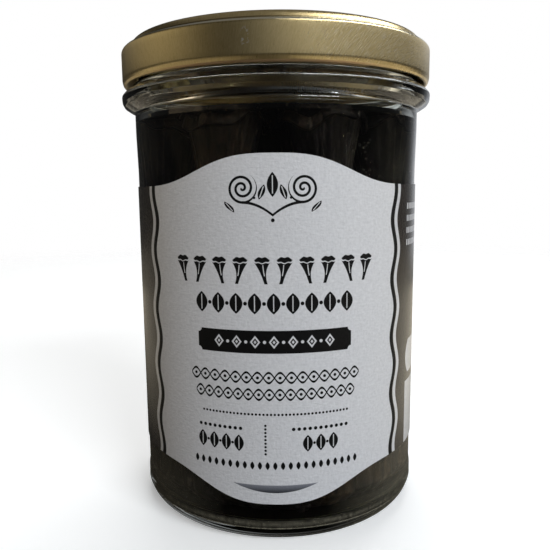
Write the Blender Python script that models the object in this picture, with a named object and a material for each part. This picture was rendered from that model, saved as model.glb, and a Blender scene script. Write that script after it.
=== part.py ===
"""A twist-off glass jar of preserved black trumpet mushrooms.

Metres, +Z up. The origin is the middle of the ring that the jar stands on, and the
front of the label faces -Y. An angle round the jar is counted from the front, positive
towards +X.
"""

import math
import random

import bmesh
import bpy
from mathutils import Vector

MM = 0.001
TURN = 2 * math.pi

# Faces round the turned pieces.
SIDES = 40
# Clear space left between two pieces that touch.
GAP = 0.3 * MM

# Glass jar: a straight-sided 212 ml jar with a 63 mm twist-off finish.
BODY_R = 30.5 * MM
PANEL_R = 30.3 * MM
PANEL_LOW_Z = 7.5 * MM
PANEL_HIGH_Z = 76 * MM
PANEL_SLOPE = 1.5 * MM
HEEL_R = 4.5 * MM
FOOT_IN_R = 24.4 * MM
PUSH_UP = 1.3 * MM
INNER_R = 27.9 * MM
INNER_HEEL_R = 3.6 * MM
FLOOR_Z = 3.2 * MM
FLOOR_RISE = 0.5 * MM
RING_R = 33.1 * MM
RING_LOW_Z = 84.1 * MM
RING_HIGH_Z = 88.5 * MM
NECK_R = 30.4 * MM
NECK_FOOT_R = 31.3 * MM
NECK_Z = 89 * MM
RIM_Z = 96.3 * MM
RIM_ROUND = 0.9 * MM

# Thread: four short ridges that each rise to the left-hand turn of the lid.
STARTS = 4
LEAD = 9 * MM
THREAD_SPAN = math.radians(68)
THREAD_FRONT = math.radians(12)
THREAD_LOW_Z = 91.35 * MM
THREAD_OUT = 0.9 * MM
THREAD_SUNK = 0.6 * MM
THREAD_HALF = 0.9 * MM

# Lid: drawn tinplate cap with a curled edge, four lugs and a button.
SHEET = 0.4 * MM
LID_R = 32.85 * MM
LID_TOP_Z = 98.3 * MM
LID_SHOULDER_Z = 96.5 * MM
SHOULDER_ROUND = 1.1 * MM
TOP_RING_OUT_R = 30.7 * MM
TOP_RING_IN_R = 26.2 * MM
PANEL_DROP = 1 * MM
PANEL_EDGE_R = 24.8 * MM
BUTTON_R = 11.5 * MM
BUTTON_RISE = 0.5 * MM
CURL_R = 0.55 * MM
CURL_Z = 89.65 * MM
LUG_SPAN = math.radians(18)
LUG_ALONG = math.radians(11)
LUG_IN_R = 30.8 * MM
LUG_LOW_Z = 89.25 * MM
LUG_THICK = 0.9 * MM

# Sealing ring in the channel of the lid.
SEAL_IN_R = 26.8 * MM
SEAL_OUT_R = 29.9 * MM
SEAL_THICK = 0.9 * MM

# Label: paper wrapped round the body, arched at the front and open at the back.
LABEL_IN_R = 30.55 * MM
LABEL_THICK = 0.2 * MM
LABEL_TOP_Z = 68.8 * MM
LABEL_ARCH = 5.6 * MM
ARCH_SPREAD = 16.3 * MM
LABEL_LOW_Z = 14.1 * MM
LABEL_DIP = 5.4 * MM
DIP_SPREAD = 15.4 * MM
LABEL_GAP = 12 * MM
LABEL_STEPS = 76

# Brine: the layer between the mushrooms and the glass, open at the top.
BRINE_THICK = 0.8 * MM
BRINE_TOP_Z = 82.3 * MM

# Mushrooms: two tiers, each with a ring of trumpets round one in the middle.
TIERS = 2
RING_COUNT = 7
TIER_LOW_Z = (8.1 * MM, 48.2 * MM)
TIER_HIGH_Z = (45.8 * MM, 82.2 * MM)
STEM_DROP = 1.5 * MM
FLESH = 1 * MM
RING_MOUTH_R = 18.1 * MM
MOUTH_ALONG = 7.85 * MM
MOUTH_ACROSS = 6.75 * MM
MIDDLE_MOUTH = 8.7 * MM
STEM_R = 2.3 * MM
STEM_WANDER = 2.4 * MM
FLARE = 2.7
LIP_DROP = 1.3 * MM
FOLD_DEPTH = 0.07
RIM_WAVE = 0.6 * MM
TRUMPET_SIDES = 14
TRUMPET_LEVELS = (0.0, 0.14, 0.36, 0.58, 0.78, 0.92, 1.0)
MOUTH_DOWN = (1, 3, 6, 11, 12)


def clear_scene():
    for old in list(bpy.data.objects):
        bpy.data.objects.remove(old, do_unlink=True)


def material(name, colour, roughness, metallic=0.0, transmission=0.0):
    made = bpy.data.materials.new(name)
    made.use_nodes = True
    shader = made.node_tree.nodes["Principled BSDF"]
    shader.inputs["Base Color"].default_value = (*colour, 1)
    shader.inputs["Roughness"].default_value = roughness
    shader.inputs["Metallic"].default_value = metallic
    shader.inputs["Transmission Weight"].default_value = transmission
    return made


def object_of(name, bm, look=None, sharp=35):
    """The bmesh as a smooth-shaded object, its faces turned outwards."""
    bmesh.ops.recalc_face_normals(bm, faces=bm.faces[:])
    mesh = bpy.data.meshes.new(name)
    bm.to_mesh(mesh)
    bm.free()
    mesh.shade_smooth()
    mesh.set_sharp_from_angle(angle=math.radians(sharp))
    if look:
        mesh.materials.append(look)
    made = bpy.data.objects.new(name, mesh)
    bpy.context.scene.collection.objects.link(made)
    return made


def helper_of(name, bm):
    """A shape that only cuts or joins, left out of the render."""
    made = object_of(name, bm)
    made.hide_render = True
    made.display_type = "WIRE"
    return made


def joined(target, helper):
    union = target.modifiers.new("union", "BOOLEAN")
    union.operation = "UNION"
    union.solver = "EXACT"
    union.object = helper


def arc(middle, radius, start, end, steps):
    """Points (r, z) along an arc, its angles in degrees from +r towards +z."""
    points = []
    for step in range(steps + 1):
        angle = math.radians(start + (end - start) * step / steps)
        r = middle[0] + radius * math.cos(angle)
        z = middle[1] + radius * math.sin(angle)
        points.append((r, z))
    return points


def around(radius, angle, z):
    """The point at this radius and height, the angle counted from the front."""
    return Vector((radius * math.sin(angle), -radius * math.cos(angle), z))


def turned(outline, closed=False):
    """The outline of (r, z) points spun round Z; it ends on the axis unless closed."""
    bm = bmesh.new()
    points = [bm.verts.new((r, 0, z)) for r, z in outline]
    for first, second in zip(points, points[1:]):
        bm.edges.new((first, second))
    if closed:
        bm.edges.new((points[-1], points[0]))
    geometry = bm.verts[:] + bm.edges[:]
    bmesh.ops.spin(
        bm, geom=geometry, cent=(0, 0, 0), axis=(0, 0, 1), dvec=(0, 0, 0),
        angle=TURN, steps=SIDES, use_merge=True, use_duplicate=False,
    )
    bmesh.ops.remove_doubles(bm, verts=bm.verts[:], dist=1e-6)
    return bm


def swept(bm, rings):
    """Bridges equal rings of points in order and closes both ends."""
    rows = [[bm.verts.new(point) for point in ring] for ring in rings]
    count = len(rows[0])
    for low, high in zip(rows, rows[1:]):
        for i in range(count):
            after = (i + 1) % count
            bm.faces.new((low[i], low[after], high[after], high[i]))
    bm.faces.new(rows[0])
    bm.faces.new(rows[-1])


def jar_outline():
    heel = (BODY_R - HEEL_R, HEEL_R)
    rim_out = (NECK_R - RIM_ROUND, RIM_Z - RIM_ROUND)
    rim_in = (INNER_R + RIM_ROUND, RIM_Z - RIM_ROUND)
    inner_heel = (INNER_R - INNER_HEEL_R, FLOOR_Z + INNER_HEEL_R)
    push = [(FOOT_IN_R * k / 3, PUSH_UP * (1 - (k / 3) ** 2)) for k in (0, 1, 2)]
    base = push + [(FOOT_IN_R - 0.7 * MM, 0.45 * MM), (FOOT_IN_R, 0)]
    body = arc(heel, HEEL_R, -90, 0, 4)
    panel = [
        (BODY_R, PANEL_LOW_Z - PANEL_SLOPE),
        (PANEL_R, PANEL_LOW_Z),
        (PANEL_R, PANEL_HIGH_Z),
        (BODY_R, PANEL_HIGH_Z + PANEL_SLOPE),
        (BODY_R, RING_LOW_Z - 0.5 * MM),
    ]
    ring = [
        (RING_R - 1.2 * MM, RING_LOW_Z + 0.1 * MM),
        (RING_R - 0.3 * MM, RING_LOW_Z + 0.8 * MM),
        (RING_R, RING_LOW_Z + 1.9 * MM),
        (RING_R - 0.3 * MM, RING_HIGH_Z - 1.6 * MM),
        (RING_R - 1 * MM, RING_HIGH_Z - 0.6 * MM),
        (NECK_FOOT_R, RING_HIGH_Z),
    ]
    neck = [(NECK_R, NECK_Z)]
    rim = arc(rim_out, RIM_ROUND, 0, 90, 3) + arc(rim_in, RIM_ROUND, 90, 180, 3)
    inside = arc(inner_heel, INNER_HEEL_R, 0, -90, 4)
    floor = [(INNER_R / 2.6, FLOOR_Z + FLOOR_RISE * 0.8), (0, FLOOR_Z + FLOOR_RISE)]
    return base + body + panel + ring + neck + rim + inside + floor


def thread_ridge(bm, start):
    """One ridge that climbs by LEAD a turn, thinning into the neck at both ends."""
    steps = 10
    rings = []
    for step in range(steps + 1):
        share = step / steps
        turn = THREAD_SPAN * share
        angle = start + turn
        middle = THREAD_LOW_Z + LEAD * turn / TURN
        out = THREAD_OUT * min(1, 0.25 + 5 * min(share, 1 - share))
        root = NECK_R - THREAD_SUNK
        crest = NECK_R + out
        rings.append([
            around(root, angle, middle - THREAD_HALF),
            around(NECK_R, angle, middle - THREAD_HALF),
            around(crest, angle, middle - THREAD_HALF * 0.4),
            around(crest, angle, middle + THREAD_HALF * 0.4),
            around(NECK_R, angle, middle + THREAD_HALF),
            around(root, angle, middle + THREAD_HALF),
        ])
    swept(bm, rings)


def glass_jar():
    look = material("clear_glass", (0.9, 0.93, 0.88), 0.02, transmission=1)
    jar = object_of("glass_jar", turned(jar_outline()), look)
    bm = bmesh.new()
    for start in range(STARTS):
        thread_ridge(bm, THREAD_FRONT + TURN * start / STARTS)
    joined(jar, helper_of("thread_helper", bm))


def lid_outline():
    """Top face from the middle out, down the skirt, round the curl and back inside."""
    panel_z = LID_TOP_Z - PANEL_DROP
    button_z = panel_z + BUTTON_RISE
    shoulder = (LID_R - SHOULDER_ROUND, LID_SHOULDER_Z - SHOULDER_ROUND)
    curl = (LID_R - CURL_R, CURL_Z)
    top = [
        (0, button_z),
        (BUTTON_R - 2 * MM, button_z),
        (BUTTON_R, panel_z),
        (PANEL_EDGE_R, panel_z),
        (TOP_RING_IN_R, LID_TOP_Z),
        (TOP_RING_OUT_R - 0.6 * MM, LID_TOP_Z),
        (TOP_RING_OUT_R, LID_TOP_Z - 0.4 * MM),
        (TOP_RING_OUT_R + 0.3 * MM, LID_SHOULDER_Z + 0.1 * MM),
    ]
    skirt = arc(shoulder, SHOULDER_ROUND, 90, 0, 3)
    edge = arc(curl, CURL_R, 0, -180, 5)
    inner_r = LID_R - SHEET
    inside = [
        (curl[0] - CURL_R, CURL_Z + 0.4 * MM),
        (inner_r, CURL_Z + 0.9 * MM),
        (inner_r, LID_SHOULDER_Z - SHOULDER_ROUND),
        (inner_r - 0.8 * MM, LID_SHOULDER_Z - SHEET),
        (TOP_RING_OUT_R - 0.1 * MM, LID_SHOULDER_Z - SHEET + 0.1 * MM),
        (TOP_RING_OUT_R - 0.5 * MM, LID_TOP_Z - SHEET - 0.1 * MM),
        (TOP_RING_OUT_R - 0.8 * MM, LID_TOP_Z - SHEET),
        (TOP_RING_IN_R + 0.2 * MM, LID_TOP_Z - SHEET),
        (PANEL_EDGE_R + 0.2 * MM, panel_z - SHEET),
        (BUTTON_R + 0.1 * MM, panel_z - SHEET),
        (BUTTON_R - 2 * MM, button_z - SHEET),
        (0, button_z - SHEET),
    ]
    return top + skirt + edge + inside


def lug(bm, middle):
    """A flattened piece of the curl that reaches under a thread ridge."""
    steps = 3
    top_z = LUG_LOW_Z + LUG_THICK
    out_r = LID_R - CURL_R
    rings = []
    for step in range(steps + 1):
        angle = middle + LUG_SPAN * (step / steps - 0.5)
        rings.append([
            around(LUG_IN_R, angle, LUG_LOW_Z + 0.15 * MM),
            around(out_r, angle, LUG_LOW_Z),
            around(out_r, angle, top_z),
            around(LUG_IN_R, angle, top_z - 0.05 * MM),
        ])
    swept(bm, rings)


def lid():
    look = material("gold_lacquer", (0.42, 0.36, 0.22), 0.32, metallic=1)
    cap = object_of("lid", turned(lid_outline()), look)
    bm = bmesh.new()
    for start in range(STARTS):
        lug(bm, THREAD_FRONT + LUG_ALONG + TURN * start / STARTS)
    joined(cap, helper_of("lug_helper", bm))


def lid_gasket():
    """The sealing ring, held in the channel just over the rim of the jar."""
    low = RIM_Z + GAP
    high = low + SEAL_THICK
    edge = 0.25 * MM
    outline = [
        (SEAL_IN_R, low + edge),
        (SEAL_IN_R + edge, low),
        (SEAL_OUT_R, low),
        (SEAL_OUT_R + edge, low + edge),
        (SEAL_OUT_R, high),
        (SEAL_IN_R + edge, high),
    ]
    look = material("sealing_compound", (0.78, 0.76, 0.7), 0.6)
    object_of("lid_gasket", turned(outline, closed=True), look)


def bell(along, spread):
    """A smooth hump: 1 in the middle and close to 0 past 1.6 spreads."""
    return math.exp(-((abs(along) / spread) ** 3))


def label():
    """A thin shell whose top edge arches up and whose bottom edge dips at the front."""
    look = material("printed_paper", (0.12, 0.11, 0.11), 0.45)
    half = math.pi - LABEL_GAP / 2 / LABEL_IN_R
    rings = []
    for step in range(LABEL_STEPS + 1):
        angle = half * (2 * step / LABEL_STEPS - 1)
        along = angle * LABEL_IN_R
        low = LABEL_LOW_Z - LABEL_DIP * bell(along, DIP_SPREAD)
        high = LABEL_TOP_Z + LABEL_ARCH * bell(along, ARCH_SPREAD)
        out_r = LABEL_IN_R + LABEL_THICK
        rings.append([
            around(LABEL_IN_R, angle, low),
            around(out_r, angle, low),
            around(out_r, angle, high),
            around(LABEL_IN_R, angle, high),
        ])
    bm = bmesh.new()
    swept(bm, rings)
    object_of("label", bm, look)


def brine():
    out_r = INNER_R - GAP
    in_r = out_r - BRINE_THICK
    low_z = FLOOR_Z + FLOOR_RISE + GAP
    heel = (INNER_R - INNER_HEEL_R, FLOOR_Z + INNER_HEEL_R)
    outside = arc(heel, INNER_HEEL_R - GAP, -90, 0, 4)
    inside = arc(heel, INNER_HEEL_R - GAP - BRINE_THICK, 0, -90, 4)
    outline = [(0, low_z), (INNER_R / 2.6, low_z - 0.1 * MM)]
    outline += outside + [(out_r, BRINE_TOP_Z), (in_r, BRINE_TOP_Z)] + inside
    outline += [(INNER_R / 2.6, low_z - 0.1 * MM + BRINE_THICK), (0, low_z + BRINE_THICK)]
    look = material("dark_brine", (0.06, 0.035, 0.02), 0.05, transmission=0.8)
    object_of("brine", turned(outline), look)


def trumpet_level(level, seat, shape, folds):
    """One ring of points round a trumpet at this share of its length.

    Its half-widths grow from the stem's to the mouth's as level ** FLARE, the folds
    deepen with the level, and the last ring turns over into a drooping lip.
    """
    middle, length, upward = seat
    along, across, outward, wander = shape
    size = level ** FLARE
    sway = (1 - level) ** 1.5
    reach = length * min(1, level / TRUMPET_LEVELS[-2])
    droop = LIP_DROP if level == 1 else 0
    side = Vector((-outward.y, outward.x, 0))
    ring = []
    for i in range(TRUMPET_SIDES):
        turn = TURN * i / TRUMPET_SIDES
        fold = 1 - FOLD_DEPTH * level * (1 - math.cos(folds * turn))
        wide = (STEM_R + (along - STEM_R) * size) * fold * math.cos(turn)
        deep = (STEM_R + (across - STEM_R) * size) * fold * math.sin(turn)
        wave = RIM_WAVE * size * math.cos(folds * turn + 1)
        place = middle + outward * wide + side * deep + wander * sway
        place.z += upward * (reach - droop + wave)
        ring.append(place)
    return ring


def trumpet(number, seat, shape, folds, look):
    """An open-mouthed hollow mushroom: one skin of rings, thickened to its flesh."""
    bm = bmesh.new()
    rows = []
    for level in TRUMPET_LEVELS:
        ring = trumpet_level(level, seat, shape, folds)
        rows.append([bm.verts.new(point) for point in ring])
    tip_at = sum((v.co for v in rows[0]), Vector()) / TRUMPET_SIDES
    tip_at.z -= seat[2] * STEM_R * 0.4
    tip = bm.verts.new(tip_at)
    for i in range(TRUMPET_SIDES):
        after = (i + 1) % TRUMPET_SIDES
        bm.faces.new((tip, rows[0][after], rows[0][i]))
        for low, high in zip(rows, rows[1:]):
            bm.faces.new((low[i], low[after], high[after], high[i]))
    made = object_of(f"mushroom_{number:02d}", bm, look, sharp=60)
    flesh = made.modifiers.new("flesh", "SOLIDIFY")
    flesh.thickness = FLESH
    flesh.offset = 0


def mushrooms():
    look = material("black_flesh", (0.02, 0.015, 0.012), 0.4)
    number = 0
    for tier in range(TIERS):
        for place in range(RING_COUNT + 1):
            number += 1
            chance = random.Random(number)
            in_middle = place == RING_COUNT
            angle = TURN * (place + 0.5 * tier) / RING_COUNT
            outward = around(1, angle, 0)
            wander = around(STEM_WANDER * chance.uniform(0.4, 1), chance.uniform(0, TURN), 0)
            upward = -1 if number in MOUTH_DOWN else 1
            low = TIER_LOW_Z[tier]
            high = TIER_HIGH_Z[tier]
            stem_z = low - STEM_DROP * (tier == 0) if upward > 0 else high
            mouth_z = high if upward > 0 else low
            middle = Vector() if in_middle else outward * RING_MOUTH_R
            middle.z = stem_z
            seat = (middle, abs(mouth_z - stem_z), upward)
            if in_middle:
                shape = (MIDDLE_MOUTH, MIDDLE_MOUTH, outward, wander)
                trumpet(number, seat, shape, RING_COUNT, look)
            else:
                shape = (MOUTH_ALONG, MOUTH_ACROSS, outward, wander)
                trumpet(number, seat, shape, chance.choice((2, 4)), look)


def main():
    clear_scene()
    glass_jar()
    lid()
    lid_gasket()
    label()
    brine()
    mushrooms()


main()
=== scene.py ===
"""A twist-off jar of preserved black trumpet mushrooms: glass, gold lid, printed label, brine and fill.

Lengths are metres in the frame's own axes. The front of the label faces -Y, and an angle
round the jar is counted from the front, positive towards +X.
"""

import math

import bpy
import numpy as np
from mathutils import Matrix, Vector


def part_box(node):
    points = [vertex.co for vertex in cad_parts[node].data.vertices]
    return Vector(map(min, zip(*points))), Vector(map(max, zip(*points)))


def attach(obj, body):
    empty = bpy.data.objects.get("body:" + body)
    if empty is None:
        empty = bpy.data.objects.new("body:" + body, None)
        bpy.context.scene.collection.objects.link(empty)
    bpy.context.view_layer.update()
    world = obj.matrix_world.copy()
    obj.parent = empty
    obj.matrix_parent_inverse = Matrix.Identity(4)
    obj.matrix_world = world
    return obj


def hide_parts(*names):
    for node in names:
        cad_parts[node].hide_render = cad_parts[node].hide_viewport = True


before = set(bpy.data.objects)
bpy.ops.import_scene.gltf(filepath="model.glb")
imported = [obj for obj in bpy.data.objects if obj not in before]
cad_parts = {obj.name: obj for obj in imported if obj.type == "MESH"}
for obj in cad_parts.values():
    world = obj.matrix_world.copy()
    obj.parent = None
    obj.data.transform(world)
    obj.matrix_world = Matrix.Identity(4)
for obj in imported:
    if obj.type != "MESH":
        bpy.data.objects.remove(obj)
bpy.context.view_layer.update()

MM = 0.001
TURN = 2 * math.pi
COLUMNS = 256
LID_COLUMNS = 320

# Heights and radii read off the frame.
_, JAR_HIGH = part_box("glass_jar")
_, LID_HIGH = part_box("lid")
RING_R = JAR_HIGH.x
RIM_Z = JAR_HIGH.z
LID_R = LID_HIGH.x
LID_TOP_Z = LID_HIGH.z

# Glass jar.
BODY_R = 30.5 * MM
PANEL_R = 30.3 * MM
PANEL_LOW_Z = 7.5 * MM
PANEL_HIGH_Z = 76 * MM
HEEL_R = 4.5 * MM
FOOT_IN_R = 24.4 * MM
PUSH_UP = 1.3 * MM
HEEL_SEAM_Z = 3.7 * MM
INNER_R = 27.9 * MM
INNER_HEEL_R = 3.6 * MM
FLOOR_Z = 3.2 * MM
FLOOR_RISE = 0.5 * MM
RING_LOW_Z = 84.1 * MM
RING_HIGH_Z = 88.5 * MM
NECK_R = 30.4 * MM
NECK_Z = 89.3 * MM
SEAMS = (math.radians(15.6), math.radians(195.6))
NOTCH = math.radians(-57)

# Thread, as the frame has it.
STARTS = 4
LEAD = 9 * MM
THREAD_SPAN = math.radians(68)
THREAD_FRONT = math.radians(12)
THREAD_LOW_Z = 91.35 * MM
THREAD_OUT = 0.9 * MM
THREAD_HALF = 0.9 * MM

# Lid.
SHEET = 0.4 * MM
SHOULDER_Z = 96.5 * MM
CURL_R = 0.55 * MM
CURL_Z = 89.9 * MM
LUG_SPAN = math.radians(18)
LUG_AHEAD = math.radians(11)
LUG_IN_R = 30.8 * MM
LUG_LOW_Z = 89.25 * MM
LUG_HIGH_Z = 90.15 * MM

# Label.
LABEL_R = 30.52 * MM
LABEL_THICK = 0.1 * MM
LABEL_TOP_Z = 68.8 * MM
LABEL_ARCH = 5.6 * MM
ARCH_SPREAD = 16.3 * MM
LABEL_BASE_Z = 14.1 * MM
LABEL_DIP = 5.4 * MM
DIP_SPREAD = 15.4 * MM
LABEL_GAP = 12 * MM
LABEL_ROWS, LABEL_COLUMNS = 41, 481

# Print, in millimetres round the label and up the jar.
PANEL_HALF = 26.6
TITLE_LEAVES_UP = 47.5
BANNER_UP = 40.35
BANNER_HALF = (14.95, 2.15)
TALLY_UP = 20.7
PLAQUE_HALF = 6.4
PLAQUE_UP = 32.9
CRESCENT_TOP = 12.65

# How much each surface bends light; the wetted wall parts glass from brine.
GLASS_IOR = 1.5
WETTED_IOR = 1.128
BRINE_IOR = 1.33

# Fill. A length without MM is in millimetres, as the formulas of the flesh are.
BRINE_TOP_Z = 82.3 * MM
TIERS = 2
RING_COUNT = 7
CORE_R = 11 * MM
CORE_TOP_Z = 80 * MM
CORE_COLUMNS = 90
TRUMPET_ROWS, TRUMPET_COLUMNS = 44, 150
TRUMPET_THICK = 0.7 * MM
MIDDLE_MOUTH_R = 8.9
MOUTH_OUT, MOUTH_SIDE, MOUTH_AWAY = 9.6, 7.7, 18.2
STEM_DROP = 4.5
BED_ROWS, BED_COLUMNS = 50, 360
BED_THICK = 0.5 * MM
BUBBLE_WALL_R = 27.62
TIER_LOW_Z = (9.9 * MM, 48.2 * MM)
TIER_HIGH_Z = (45.8 * MM, 81.9 * MM)
MOUTH_DOWN = (1, 3, 6, 11, 12)
WALL_R = 27.35

# Camera: where it stands round the jar, and how it is turned.
CAMERA_AWAY = 137.8 * MM
CAMERA_Z = 68.3 * MM
CAMERA_ROUND = math.radians(1.4)
CAMERA_PITCH = math.radians(-8.22)
CAMERA_YAW = math.radians(-0.24)
CAMERA_ROLL = math.radians(-0.58)
CAMERA_LENS = 39.48

FLOOR_EDGE = 0.6


# ---------------------------------------------------------------- surfaces


def grid_faces(rows, columns, round_columns=True):
    """Four-cornered faces of a grid of points, each column turned about the last if it is round."""
    row = np.arange(rows - 1)
    column = np.arange(columns if round_columns else columns - 1)
    low, left = np.meshgrid(row, column, indexing="ij")
    high = low + 1
    right = (left + 1) % columns
    corners = (low * columns + left, low * columns + right, high * columns + right, high * columns + left)
    return np.stack(corners, axis=-1).reshape(-1, 4)


def piece(name, points, faces, looks, body, stands_for=()):
    """A smooth-shaded mesh of the points and faces that rides on a body of the frame."""
    mesh = bpy.data.meshes.new(name)
    mesh.from_pydata(points.reshape(-1, 3).tolist(), [], faces if isinstance(faces, list) else faces.tolist())
    mesh.validate()
    mesh.shade_smooth()
    for look in looks:
        mesh.materials.append(look)
    made = bpy.data.objects.new(name, mesh)
    bpy.context.scene.collection.objects.link(made)
    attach(made, body)
    if stands_for:
        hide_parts(*stands_for)
    return made


def closed_sheet(outer, inner):
    """Points and faces of a thin sheet: an outer grid, an inner grid and the rim that joins them.

    The rim's faces come last, one for each side of the border.
    """
    rows, columns = outer.shape[:2]
    front = grid_faces(rows, columns, round_columns=False)
    index = np.arange(rows * columns).reshape(rows, columns)
    border = np.concatenate((index[0, :-1], index[:-1, -1], index[-1, :0:-1], index[:0:-1, 0]))
    after = np.roll(border, -1)
    count = rows * columns
    rim = np.stack((border, border + count, after + count, after), axis=-1)
    points = np.concatenate((outer.reshape(-1, 3), inner.reshape(-1, 3)))
    return points, np.concatenate((front, front[:, ::-1] + count, rim)), len(rim)


def corner_arcs(corners, steps=5):
    """The outline through (r, z, round) corners, each corner cut by an arc of that radius.

    The arc is tangent to both sides, so it starts at round * tan(half the turn) from the corner.
    """
    corners = np.array(corners, float)
    places, rounds = corners[:, :2], corners[:, 2]
    outline = [places[0]]
    for before, here, after, radius in zip(places, places[1:], places[2:], rounds[1:-1]):
        back, ahead = before - here, after - here
        back_long, ahead_long = np.hypot(*back), np.hypot(*ahead)
        back, ahead = back / back_long, ahead / ahead_long
        half = math.acos(np.clip(back @ ahead, -1, 1)) / 2
        cut = radius / math.tan(half) if radius else 0
        if cut < 1e-7:
            outline.append(here)
            continue
        cut = min(cut, 0.49 * back_long, 0.49 * ahead_long)
        share = np.linspace(0, 1, steps + 1)[:, None]
        start, end = here + back * cut, here + ahead * cut
        outline.extend((1 - share) ** 2 * start + 2 * share * (1 - share) * here + share**2 * end)
    outline.append(places[-1])
    return np.array(outline)


def refined(outline, longest):
    """The outline with points added so that no side is longer than this."""
    sides = np.diff(outline, axis=0)
    counts = np.maximum(1, np.ceil(np.hypot(*sides.T) / longest).astype(int))
    shares = [np.arange(n) / n for n in counts]
    parts = [p + s[:, None] * d for p, d, s in zip(outline, sides, shares)]
    return np.vstack(parts + [outline[-1:]])


def around(radius, angle, z):
    """Points at this radius, angle from the front and height."""
    radius, angle, z = np.broadcast_arrays(radius, angle, z)
    return np.stack((radius * np.sin(angle), -radius * np.cos(angle), z), axis=-1)


def turned(outline, shape=None, columns=COLUMNS):
    """Points and faces of an outline (r, z) turned about Z, both its ends on the axis.

    shape(r, z, angle) may move the rings between the two poles.
    """
    rings = outline[1:-1]
    angle = np.arange(columns) * TURN / columns
    r, turn = np.meshgrid(rings[:, 0], angle, indexing="ij")
    z = np.repeat(rings[:, 1:], columns, axis=1)
    if shape:
        r, z = shape(r, z, turn)
    points = around(r, turn, z).reshape(-1, 3)
    faces = grid_faces(len(rings), columns).tolist()
    last = (len(rings) - 1) * columns
    start, end = len(points), len(points) + 1
    after = (np.arange(columns) + 1) % columns
    faces += [[start, int(b), int(a)] for a, b in enumerate(after)]
    faces += [[last + a, last + int(b), end] for a, b in enumerate(after)]
    poles = [[0, 0, outline[0, 1]], [0, 0, outline[-1, 1]]]
    return np.vstack((points, poles)), faces


def capped(points):
    """Points and faces of a grid of rings, its first ring closed by a fan to that ring's middle."""
    rows, columns = points.shape[:2]
    after = (np.arange(columns) + 1) % columns
    cap = [[rows * columns, int(b), int(a)] for a, b in enumerate(after)]
    middle = points[0].mean(axis=0)
    return np.vstack((points.reshape(-1, 3), middle)), grid_faces(rows, columns).tolist() + cap


def thickened(made, thickness):
    """Gives a surface a wall of this thickness, on its inner side."""
    flesh = made.modifiers.new("flesh", "SOLIDIFY")
    flesh.thickness = thickness
    flesh.offset = -1


def face_values(mesh, kind):
    """The centre or normal of each face, a row of x, y and z each."""
    values = np.empty(len(mesh.polygons) * 3)
    mesh.polygons.foreach_get(kind, values)
    return values.reshape(-1, 3)


def hump(x):
    """A smooth hump: 1 at 0, falling as a raised cosine to 0 at -1 and 1."""
    return 0.5 + 0.5 * np.cos(np.pi * np.clip(x, -1, 1))


def smooth_step(x):
    x = np.clip(x, 0, 1)
    return x * x * (3 - 2 * x)


# ---------------------------------------------------------------- shader maths


class Number:
    """A shader socket used as a number: each operation adds one Math node to its graph."""

    def __init__(self, graph, socket):
        self.graph = graph
        self.socket = socket

    def __add__(self, other):
        return self.graph.maths("ADD", self, other)

    def __sub__(self, other):
        return self.graph.maths("SUBTRACT", self, other)

    def __rsub__(self, other):
        return self.graph.maths("SUBTRACT", other, self)

    def __mul__(self, other):
        return self.graph.maths("MULTIPLY", self, other)

    def __truediv__(self, other):
        return self.graph.maths("DIVIDE", self, other)

    def __rtruediv__(self, other):
        return self.graph.maths("DIVIDE", other, self)

    def __pow__(self, other):
        return self.graph.maths("POWER", self, other)

    def __and__(self, other):
        """Where both masks are."""
        return self.graph.maths("MINIMUM", self, other)

    def __or__(self, other):
        """Where either mask is."""
        return self.graph.maths("MAXIMUM", self, other)

    def __neg__(self):
        return self * -1

    def __abs__(self):
        return self.graph.maths("ABSOLUTE", self)

    __radd__ = __add__
    __rmul__ = __mul__

    def below(self, limit, soft=0.03):
        """1 where this is under the limit and 0 over it, over a soft edge."""
        return self.graph.maths("MULTIPLY_ADD", limit - self, 1 / soft, 0.5, clamp=True)

    def above(self, limit, soft=0.03):
        return self.graph.maths("MULTIPLY_ADD", self - limit, 1 / soft, 0.5, clamp=True)

    def within(self, low, high, soft=0.03):
        return self.above(low, soft) & self.below(high, soft)

    def wrapped(self, pitch):
        """From minus half a pitch to half a pitch, over and over."""
        return self.graph.maths("WRAP", self, pitch / 2, -pitch / 2)


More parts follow.
